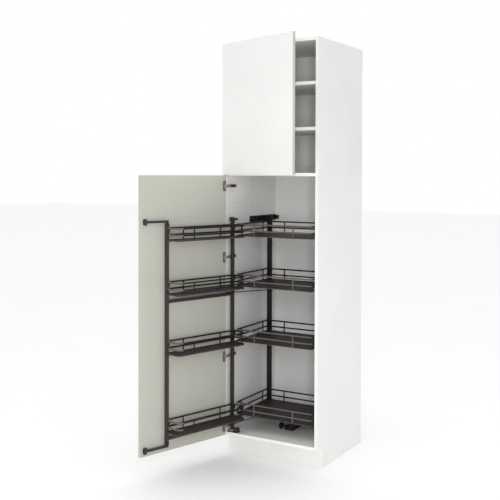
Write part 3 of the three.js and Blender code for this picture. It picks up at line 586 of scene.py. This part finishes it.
def wire_rails(name, cad_node, line, uprights, matrix, body, gets_painted_highlight):
    """Two round wires along a tray's line, welded to short uprights that stand on the tray.

    Its last argument says which places of the tray's own drawing get the paler colour, a painted highlight."""
    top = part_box(cad_node)[1].z - RAIL_RADIUS
    foot = top - TRAY_DROP + TRAY_THICKNESS / 2 + UPRIGHT_LIFT
    parts = [sweep(line, ring(WIRE_RADIUS), z) for z in (top, top - MIDDLE_RAIL_DROP)]
    parts += [rod((x, y, foot), (x, y, top), UPRIGHT_RADIUS, flare=WELD) for x, y in uprights]
    mesh = piece(name, parts, matrix, body, "dark_metal", WIRE, replaces=[cad_node]).data
    mesh.materials.append(PAINTED_HIGHLIGHT_WIRE)
    back = matrix.inverted()
    for face in mesh.polygons:
        face.material_index = int(gets_painted_highlight(back @ face.center))


def tray_bead(name, tray_node, line, matrix, body):
    """A thin bead along the lower edge of a tray's rim, pale as a painted highlight."""
    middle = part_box(tray_node)[0].z + BEAD_RADIUS
    bead = sweep(line, ring(BEAD_RADIUS, sides=8), middle)
    piece(name, [bead], matrix, body, "tray_board", TRAY_BAND_HIGHLIGHT)


def all_rails():
    """The wires and beads of the four front and the four rear trays."""
    outer_end = FRONT_TRAY["end"] - FRONT_TRAY["corner"]
    front_side = REAR_TRAY["front"] + WIRE_RADIUS
    # the last entry of each set picks the wires that get the painted highlight
    sets = [("front", front_outline, FRONT_UPRIGHTS, FRONT_FRAME, lambda p: p.x > outer_end),
            ("rear", rear_outline, REAR_UPRIGHTS, CARCASS, lambda p: p.y < front_side)]
    for i in TRAYS:
        for side, line, uprights, matrix, gets_painted_highlight in sets:
            wire_rails(f"{side}_wires_{i}", f"{side}_rails_{i}", line(), uprights, matrix,
                       f"{side}_frame", gets_painted_highlight)
        for side, line, _, matrix, _ in sets:
            tray_bead(f"{side}_bead_{i}", f"{side}_tray_{i}", line(TRAY_OVERHANG), matrix,
                      f"{side}_frame")


# ---------------------------------------------------------------- concealed hinges
DOOR_GAP = 2.5 * MM                # between a closed door and the carcass
DOOR_INNER = -DOOR_GAP - (joint_place("lower_door_hinge").y - CORNER.y)    # from the hinge axis
CUP_ALONG = 7.75 * MM              # the cups' middles, along the door from the hinge axis
CUP_SCREW_LIFT = 23 * MM           # of a cup's screws over and under its middle
CUP_SCREW_RISE = 0.5 * MM
CUP_PLATE = 1.8 * MM
ARM_SIDE = mm([(1, 42), (6, 33), (10, 33), (12, 36), (12, 74), (9, 92), (2, 105), (1, 105)])
                                   # an arm's outline, from the panel's face and front edge
ARM_HALF = 7.5 * MM                # half its height
ARM_FACE = 12 * MM                 # its outer face, from the panel's
ARM_SCREWS = (42 * MM, 56 * MM, 70 * MM)         # behind the panel's front edge
ARM_SCREW_RADIUS = 4.2 * MM
ARM_PLATE = {"thickness": 2 * MM, "front": 30 * MM, "back": 99 * MM, "half": 9 * MM}
LINK_SINK = 2 * MM                 # of a link's end in its cup
LINK_ARM = Vector((24.5 * MM, 6 * MM, 0))        # where a link comes to the arm
LINK_TAIL = Vector((26 * MM, 37 * MM, 0))        # where it ends in the arm
LINK_STEPS, TAIL_STEPS = 16, 4
LOWER_BEND = Vector((-6.5 * MM, 17 * MM, 0))     # where a link's middle lies, in the door's drawing
UPPER_BEND = Vector((-1.5 * MM, 14 * MM, 0))
FORK_POINTS = 8                    # of the link's path that the fork covers
FORK_HALF_THICKNESS, FORK_HALF_HEIGHT = 1.1 * MM, 15 * MM
FORK_TAPER = 1.1 * MM              # how much lower the fork's half is at each next point
BAR_FIRST_POINT = 5                # of the link's path, inside the fork
BAR_HALF_THICKNESS, BAR_HALF_HEIGHT = 1.6 * MM, 7 * MM


def hinge_body(name, cad_node, level):
    """A hinge's arm on its mounting plate, on the left panel's inner face."""
    arm = slab([(BOARD + x, y) for x, y in ARM_SIDE], level - ARM_HALF, level + ARM_HALF)
    plate = box(BOARD, BOARD + ARM_PLATE["thickness"], ARM_PLATE["front"], ARM_PLATE["back"],
                level - ARM_PLATE["half"], level + ARM_PLATE["half"])
    piece(name, [arm, plate], CARCASS, "carcass", "hinge_arm_metal", BROWN_PLATE,
          replaces=[cad_node], edge=1.0 * MM)


def hinge_link(name, level, matrix, body, bend):
    """The link of a cup and its arm: a zinc fork and a copper bar."""
    cup = (matrix @ Vector((CUP_ALONG, DOOR_INNER - LINK_SINK, 0))).to_2d()
    arm = (CARCASS @ LINK_ARM).to_2d()
    tail = (CARCASS @ LINK_TAIL).to_2d()
    middle = (matrix @ bend).to_2d()
    path = curve_through(cup, middle * 2 - (cup + arm) / 2, arm, LINK_STEPS)
    heights = [FORK_HALF_HEIGHT - FORK_TAPER * i for i in range(FORK_POINTS)]
    fork = ribbon(path[:FORK_POINTS], FORK_HALF_THICKNESS, heights, level)
    inner = path[BAR_FIRST_POINT:] + [arm.lerp(tail, i / TAIL_STEPS)
                                      for i in range(1, TAIL_STEPS + 1)]
    bar = ribbon(inner, BAR_HALF_THICKNESS, [BAR_HALF_HEIGHT] * len(inner), level)
    across = (body, "carcass", cup.to_3d() + UP * level, arm.to_3d() + UP * level)
    piece(f"{name}_fork", [fork], IN_PLACE, across, "hinge_cup_metal", ZINC)
    piece(f"{name}_link", [bar], IN_PLACE, across, "hinge_arm_metal", COPPER)


def hinges():
    """The four hinges of the lower door and the two of the upper one."""
    doors = [("lower", LOWER_DOOR, LOWER_BEND, 4), ("upper", UPPER_DOOR, UPPER_BEND, 2)]
    for door, matrix, bend, count in doors:
        body = f"{door}_door"
        for i in range(1, count + 1):
            low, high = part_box(f"{door}_hinge_cup_{i}")
            level = (low.z + high.z) / 2
            hinge_body(f"{door}_hinge_body_{i}", f"{door}_hinge_arm_{i}", level)
            screws(f"{door}_hinge_screws_{i}", [(BOARD + ARM_FACE, y, level) for y in ARM_SCREWS],
                   (1, 0, 0), CARCASS, "carcass", radius=ARM_SCREW_RADIUS)
            screws(f"{door}_cup_screws_{i}",
                   [(CUP_ALONG, DOOR_INNER + CUP_PLATE, level + side * CUP_SCREW_LIFT)
                    for side in (-1, 1)],
                   (0, 1, 0), matrix, body, "hinge_cup_metal", STEEL, rise=CUP_SCREW_RISE)
            hinge_link(f"{door}_hinge_{i}", level, matrix, body, bend)


# ---------------------------------------------------------------- brackets of the front frame
# x and y are from the carcass's corner, or in the front frame's drawing for the outer post's caps.
PIN_REACH = 15 * MM                # of the pivot pin above its post
CAP_PARTS = [                      # (x, z) outlines over the pivot post's end, their spans in y
    (mm([(31, 0.4), (58, 0.4), (58, 11.6), (31, 11.6)]), (8 * MM, 34 * MM)),       # lower half
    (mm([(31, 13), (60, 13), (60, 17.5), (53, 22), (34, 22), (31, 19)]),
     (8 * MM, 34 * MM)),                                                           # upper half
    (mm([(57, 5), (76, 9), (76, 16), (57, 18)]), (16 * MM, 26 * MM)),              # knob's lug
    (mm([(18, 2), (22, 2), (22, 21), (18, 21)]), (30 * MM, 62 * MM)),              # flange
    (mm([(20, 7), (34, 7), (34, 12), (20, 12)]), (30 * MM, 40 * MM)),              # flange's web
]
CAP_PLATE = (30.4 * MM, 60.6 * MM, 7.4 * MM, 34.6 * MM)    # between the halves, across x and y
CAP_PLATE_LOW, CAP_PLATE_HIGH = 11.4 * MM, 13.2 * MM       # over the pivot post's end
CAP_PLATE_CORNER = 2 * MM
CAP_SCREWS = mm([(22, 42, 12), (22, 55, 12)])    # over the pivot post's end, on the flange
KNOB = mm([(4, 0), (5.2, 1.2), (5.2, 10), (4, 11.6), (2, 12.4)])
KNOB_PLACE = Vector((78 * MM, 21 * MM, 6 * MM))  # over the pivot post's end

FOOT_THICKNESS = 4 * MM
FOOT = (22 * MM, 91 * MM, 4 * MM, 45 * MM)       # the foot's base across x and y
FOOT_CORNER = 6 * MM
HOUSING = (61 * MM, 89 * MM, 8 * MM, 41 * MM)    # the block on the base across x and y
HOUSING_CORNER = 8 * MM
HOUSING_SINK, HOUSING_HEIGHT = 1 * MM, 19 * MM   # from the base's upper face
HOUSING_DOME = mm([(6.4, 18), (6.4, 22), (5.4, 24.4), (3.2, 26), (1.2, 26.5)])
                                   # radius, and height over the base's upper face
DOME_PLACE = (76 * MM, 18 * MM)
BOSS_RADIUS = 11 * MM
BOSS_CHAMFER = 1 * MM
BOSS_REACH = 10.6 * MM             # up the pivot pin from its lower end, to just under the post
BUSH = mm([(10.6, 0), (12, 0.6), (12, 5), (10.6, 5.6)])
BUSH_LIFT = 2 * MM                 # over the base's upper face
FOOT_SCREWS = mm([(29, 38), (52, 38), (28, 10)])

GUIDE_REACH = 3.7 * MM             # of the outer post's guide pins past its ends
POST_CAP_HALF_WIDTH, POST_CAP_HALF_DEPTH = 7.8 * MM, 12.8 * MM
POST_CAP_GRIP, POST_CAP_RISE = 6 * MM, 1.2 * MM  # down the post and past its end
POST_CAP_CORNER = 3 * MM
STOP_INSET, STOP_FRONT = 3 * MM, 11 * MM         # narrower than the cap, and where it starts in y
TOP_STOP = {"back": 20 * MM, "near": 4 * MM, "far": 13 * MM}       # near and far from the end
FOOT_STOP = {"back": 19 * MM, "near": 4 * MM, "far": 12 * MM}

SPOOL = mm([(8, 6.4), (9.2, 7.4), (9.2, 14.8), (8.4, 16.2), (6.6, 16.8), (5.8, 16.2)])
                                   # radius, and height over or under the arm's middle


def top_pivot():
    """The top pivot's bracket: a flange on the panel, a cap in two halves, and a knob."""
    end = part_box("pivot_post")[1].z - PIN_REACH
    parts = [side_slab([(x, end + z) for x, z in profile], near, far)
             for profile, (near, far) in CAP_PARTS]
    plastic("pivot_cap", parts, CARCASS, "carcass", replaces=["pivot_bracket_top"], edge=1.2 * MM)
    plate = rounded_box(*CAP_PLATE, end + CAP_PLATE_LOW, end + CAP_PLATE_HIGH, CAP_PLATE_CORNER)
    piece("pivot_plate", [plate], CARCASS, "carcass", "hinge_cup_metal", ZINC)
    knob = lathe(KNOB, KNOB_PLACE + UP * end, UP, sides=20)
    plastic("pivot_knob", [knob], CARCASS, "carcass", smooth=50)
    screws("pivot_screws", [(x, y, end + z) for x, y, z in CAP_SCREWS], (1, 0, 0),
           CARCASS, "carcass")


def bottom_pivot():
    """The bottom pivot's foot: a base, a boss with a pale bush, and a housing with its dome."""
    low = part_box("pivot_bracket_bottom")[0].z
    base = low + FOOT_THICKNESS
    parts = [rounded_box(*FOOT, low, base, FOOT_CORNER),
             rounded_box(*HOUSING, base - HOUSING_SINK, base + HOUSING_HEIGHT, HOUSING_CORNER)]
    plastic("pivot_foot", parts, CARCASS, "carcass", replaces=["pivot_bracket_bottom"],
            edge=1.6 * MM)
    pivot = joint_place("front_frame_pivot") - CORNER
    boss_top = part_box("pivot_post")[0].z + BOSS_REACH
    boss = [(BOSS_RADIUS, low), (BOSS_RADIUS, boss_top - BOSS_CHAMFER),
            (BOSS_RADIUS - BOSS_CHAMFER, boss_top)]
    parts = [lathe(boss, pivot, UP, sides=28),
             lathe(HOUSING_DOME, (*DOME_PLACE, base), UP, sides=20)]
    plastic("pivot_boss", parts, CARCASS, "carcass", smooth=50)
    bush = lathe(BUSH, pivot + UP * (base + BUSH_LIFT), UP, sides=28)
    piece("pivot_bush", [bush], CARCASS, "carcass", "hinge_cup_metal", NYLON)
    screws("foot_screws", [(x, y, base) for x, y in FOOT_SCREWS], UP, CARCASS, "carcass")


def post_ends():
    """The caps on the outer post's ends, each with its stop."""
    low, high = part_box("outer_post")
    left, right = POST_SPACING - POST_CAP_HALF_WIDTH, POST_SPACING + POST_CAP_HALF_WIDTH
    parts = []
    for end, way, stop in ((high.z - GUIDE_REACH, -1, TOP_STOP),
                           (low.z + GUIDE_REACH, 1, FOOT_STOP)):
        cap = sorted((end - way * POST_CAP_RISE, end + way * POST_CAP_GRIP))
        parts.append(rounded_box(left, right, -POST_CAP_HALF_DEPTH, POST_CAP_HALF_DEPTH,
                                 *cap, POST_CAP_CORNER))
        block = sorted((end + way * stop["near"], end + way * stop["far"]))
        parts.append(rounded_box(left + STOP_INSET, right - STOP_INSET, STOP_FRONT, stop["back"],
                                 *block, POST_CAP_CORNER))
    plastic("outer_post_caps", parts, FRONT_FRAME, "front_frame", edge=1.0 * MM)


def door_spools():
    """The two discs round the pin of each arm, on the lower door."""
    for side in ("top", "bottom"):
        low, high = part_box(f"door_arm_{side}")
        pin = joint_place(f"door_arm_{side}_pin") + UP * ((low.z + high.z) / 2)
        discs = [lathe(SPOOL, pin, way, sides=28) for way in (-UP, UP)]
        plastic(f"door_spool_{side}", discs, IN_PLACE, "lower_door", smooth=35)


# ---------------------------------------------------------------- linkage, trolley and shelves
EYE_RADIUS = 7.5 * MM              # of the coupling rods' eyes
EYE_HALF = 3 * MM                  # half an eye's thickness
EYE_CHAMFER = 0.8 * MM
ROD_RADIUS = 2.8 * MM
ROD_SINK = 2 * MM                  # of a rod's end in its eye
RIVET = mm([(3.8, 2.8), (3.8, 3.6), (3.1, 4.5), (1.6, 5)])
                                   # radius, and height over the eye's middle
WHEEL_WEB = mm([(4.3, 0), (7.5, 0), (8, 1.6), (14.5, 2.4), (15.5, 0.4)])
                                   # radius, and depth under the wheel's side
WHEEL_TREAD = mm([(-2, 0), (-0.5, 0.7), (0, 2.4)])             # the same, from the tread's radius
PLUG = mm([(2.4, -5), (2.4, 0), (5.6, 0), (5.6, 1.2), (3, 1.6), (3, 8), (2.4, 8.8)])
                                   # radius, and how far out of the panel's face
PLUG_DROP = 3 * MM                 # of a plug's middle under its shelf


def coupling_rod(name):
    """A round rod with an eye at each end and a rivet head on each eye."""
    low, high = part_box(name)
    pin = joint_place(f"{name}_crank")
    front = Vector((pin.x, pin.y, high.z - EYE_HALF))
    back = Vector((pin.x, high.y - EYE_RADIUS, low.z + EYE_HALF))
    inset = (back - front).normalized() * (EYE_RADIUS - ROD_SINK)
    rim = EYE_RADIUS - EYE_CHAMFER
    flat = EYE_HALF - EYE_CHAMFER
    eye = [(rim, -EYE_HALF), (EYE_RADIUS, -flat), (EYE_RADIUS, flat), (rim, EYE_HALF)]
    parts = [rod(front + inset, back - inset, ROD_RADIUS, sides=16)]
    parts += [lathe(profile, place, UP, sides=24)
              for place in (front, back) for profile in (eye, RIVET)]
    piece(f"{name}_bar", parts, IN_PLACE, name, "dark_metal", SHADED_REAR_METAL, replaces=[name])


def wheel():
    """The trolley's wheel: a rounded tread, a thinner web and a hub bored for the axle."""
    low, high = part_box("trolley_wheel")
    radius, width = (high.z - low.z) / 2, high.x - low.x
    half = WHEEL_WEB + [(radius + r, depth) for r, depth in WHEEL_TREAD]
    profile = half + [(r, width - depth) for r, depth in reversed(half)]
    centre = (low.x, (low.y + high.y) / 2, (low.z + high.z) / 2)
    turned = lathe(profile, centre, (1, 0, 0), sides=48, bored=True)
    plastic("wheel", [turned], IN_PLACE, "trolley_wheel", replaces=["trolley_wheel"], smooth=30)


def shelf_supports():
    """The four plugs under each loose shelf, standing in the side panels."""
    for shelf in ("shelf_1", "shelf_2"):
        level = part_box(shelf)[0].z - PLUG_DROP
        parts = [lathe(PLUG, (x, LEFT_LOW.y + y, level), (way, 0, 0), sides=20)
                 for x, way in ((LEFT_HIGH.x, 1), (RIGHT_LOW.x, -1))
                 for y in (HOLE_COLUMNS[1], HOLE_COLUMNS[-1])]
        piece(f"{shelf}_supports", parts, IN_PLACE, "carcass", "hinge_cup_metal", STEEL, smooth=35)


# ---------------------------------------------------------------- CAD nodes that stay
WELD_DISTANCE = 0.01 * MM
SLOT_FINISHES = {                  # finish and rounding of each material slot's nodes
    "white_laminate": (WHITE, 0.6 * MM), "interior_laminate": (INTERIOR, 0.5 * MM),
    "dark_metal": (METAL, 0.5 * MM), "tray_board": (SHADED_REAR_TRAY_BOARD, 0.8 * MM),
    "black_plastic": (PLASTIC, 0.8 * MM), "hinge_cup_metal": (ZINC, 0.4 * MM),
    "hinge_arm_metal": (BROWN_PLATE, 0.5 * MM),
}
NODE_FINISHES = {                  # of the nodes that differ from their slot
    "lower_door": (LOWER_DOOR_BOARD, 0.8 * MM), "upper_door": (UPPER_DOOR_BOARD, 0.8 * MM),
    **{f"front_tray_{i}": (FRONT_TRAY_BOARD, 0.8 * MM) for i in TRAYS},
    **dict.fromkeys(("bottom_panel", "middle_panel", "top_panel", "shelf_1", "shelf_2"),
                    (LIT_SHELF_BOARD, 0.5 * MM)),
    **dict.fromkeys(("door_arm_top", "door_arm_bottom"), (METAL, 1.8 * MM)),
    **dict.fromkeys(("rear_post_left", "rear_post_right", "rear_crossbar", "slide_rail"),
                    (SHADED_REAR_METAL, 0.5 * MM)),
}


def dress_frame():
    """Gives each CAD node its finish and a fine rounding along its edges."""
    slots = {part["node"]: part["material_slot"] for part in frame["record"]["subparts"]}
    for name, shown in frame["nodes"].items():
        finish, width = NODE_FINISHES.get(name, SLOT_FINISHES[slots[name]])
        shown.data.materials.clear()
        shown.data.materials.append(finish)
        weld = shown.modifiers.new("weld", "WELD")
        weld.merge_threshold = WELD_DISTANCE
        rounded(shown, width)


# ---------------------------------------------------------------- camera and light
PHOTO_SIZE = 500                   # pixels
PHOTO_FOCAL = 840.3                # pixels
PHOTO_MIDDLE_Y = 187.1             # the row that the camera looks straight at
CAMERA_PLACE = Vector((2.6256, -4.1623, 1.6503))     # from the carcass's front left corner
CAMERA_YAW = math.radians(30.48)
CAMERA_PITCH = math.radians(0.96)
CAMERA_ROLL = math.radians(0.16)
SENSOR = 36                        # width in millimetres
SKY_LOW, SKY_HIGH = 0.12, 1.46     # strength of the soft light at the horizon and overhead
BACKDROP = 1.0                     # strength of what shows behind the cabinet
LIGHT_PLACE = Vector((2.95, -5.1, 1.9))
LIGHT_TARGET = Vector((0.0, 0.3, 1.3))
LIGHT_SIZE = (0.9, 2.6)            # wide and high
LIGHT_POWER = 132                  # watts
FLOOR_REACH = 30                   # to each side
PALE_FLOOR = material("pale_floor", (0.95, 0.95, 0.95), (0.96, 0.96, 0.96), 0.8, scale=(2, 2, 2))


def photo_camera():
    """The camera that was fitted to the photograph."""
    data = bpy.data.cameras.new("photo_camera")
    data.sensor_width = SENSOR
    data.lens = PHOTO_FOCAL / PHOTO_SIZE * SENSOR
    data.shift_y = (PHOTO_MIDDLE_Y - PHOTO_SIZE / 2) / PHOTO_SIZE
    made = bpy.data.objects.new("photo_camera", data)
    bpy.context.scene.collection.objects.link(made)
    look = Vector((-math.sin(CAMERA_YAW) * math.cos(CAMERA_PITCH),
                   math.cos(CAMERA_YAW) * math.cos(CAMERA_PITCH), -math.sin(CAMERA_PITCH)))
    level = Vector((math.cos(CAMERA_YAW), math.sin(CAMERA_YAW), 0))
    rise = level.cross(look)
    right = level * math.cos(CAMERA_ROLL) + rise * math.sin(CAMERA_ROLL)
    up = rise * math.cos(CAMERA_ROLL) - level * math.sin(CAMERA_ROLL)
    turn = Matrix((right, up, -look)).transposed().to_4x4()
    made.matrix_world = Matrix.Translation(CORNER + CAMERA_PLACE) @ turn
    bpy.context.scene.camera = made


def side_light():
    """One tall soft light beside the camera."""
    data = bpy.data.lights.new("side_light", "AREA")
    data.shape = "RECTANGLE"
    data.size, data.size_y = LIGHT_SIZE
    data.energy = LIGHT_POWER
    made = bpy.data.objects.new("side_light", data)
    bpy.context.scene.collection.objects.link(made)
    made.location = LIGHT_PLACE
    made.rotation_euler = (LIGHT_TARGET - LIGHT_PLACE).to_track_quat("-Z", "Y").to_euler()


def sky():
    """A white sky that grows brighter upward, and the even white that the camera sees instead."""
    world = bpy.data.worlds.new("studio")
    world.use_nodes = True
    tree = world.node_tree
    soft = tree.nodes["Background"]
    soft.inputs["Color"].default_value = (1, 1, 1, 1)
    height = node(tree, "ShaderNodeSeparateXYZ")
    direction = node(tree, "ShaderNodeTexCoord").outputs["Generated"]
    tree.links.new(direction, height.inputs["Vector"])
    rise = node(tree, "ShaderNodeMapRange", From_Min=0.0, From_Max=1.0,
                To_Min=SKY_LOW, To_Max=SKY_HIGH)
    tree.links.new(height.outputs["Z"], rise.inputs["Value"])
    tree.links.new(rise.outputs["Result"], soft.inputs["Strength"])
    backdrop = node(tree, "ShaderNodeBackground", Color=(1, 1, 1, 1), Strength=BACKDROP)
    both = node(tree, "ShaderNodeMixShader")
    seen = node(tree, "ShaderNodeLightPath").outputs["Is Camera Ray"]
    tree.links.new(seen, both.inputs["Fac"])
    tree.links.new(soft.outputs["Background"], both.inputs[1])
    tree.links.new(backdrop.outputs["Background"], both.inputs[2])
    tree.links.new(both.outputs["Shader"], tree.nodes["World Output"].inputs["Surface"])
    bpy.context.scene.world = world


def pale_floor():
    """The floor that the cabinet stands on, which isn't part of the object."""
    mesh = bpy.data.meshes.new("floor")
    corners = [(x * FLOOR_REACH, y * FLOOR_REACH, 0)
               for x, y in ((-1, -1), (1, -1), (1, 1), (-1, 1))]
    mesh.from_pydata(corners, [], [(0, 1, 2, 3)])
    mesh.materials.append(PALE_FLOOR)
    floor = bpy.data.objects.new("floor", mesh)
    bpy.context.scene.collection.objects.link(floor)


dress_frame()
drilled_panel("drilled_panel_left", "side_panel_left", 1)
drilled_panel("drilled_panel_right", "side_panel_right", -1)
all_rails()
hinges()
top_pivot()
bottom_pivot()
post_ends()
door_spools()
coupling_rod("coupling_rod_middle")
coupling_rod("coupling_rod_bottom")
wheel()
shelf_supports()
photo_camera()
side_light()
sky()
pale_floor()
bpy.context.scene.view_settings.view_transform = "Standard"
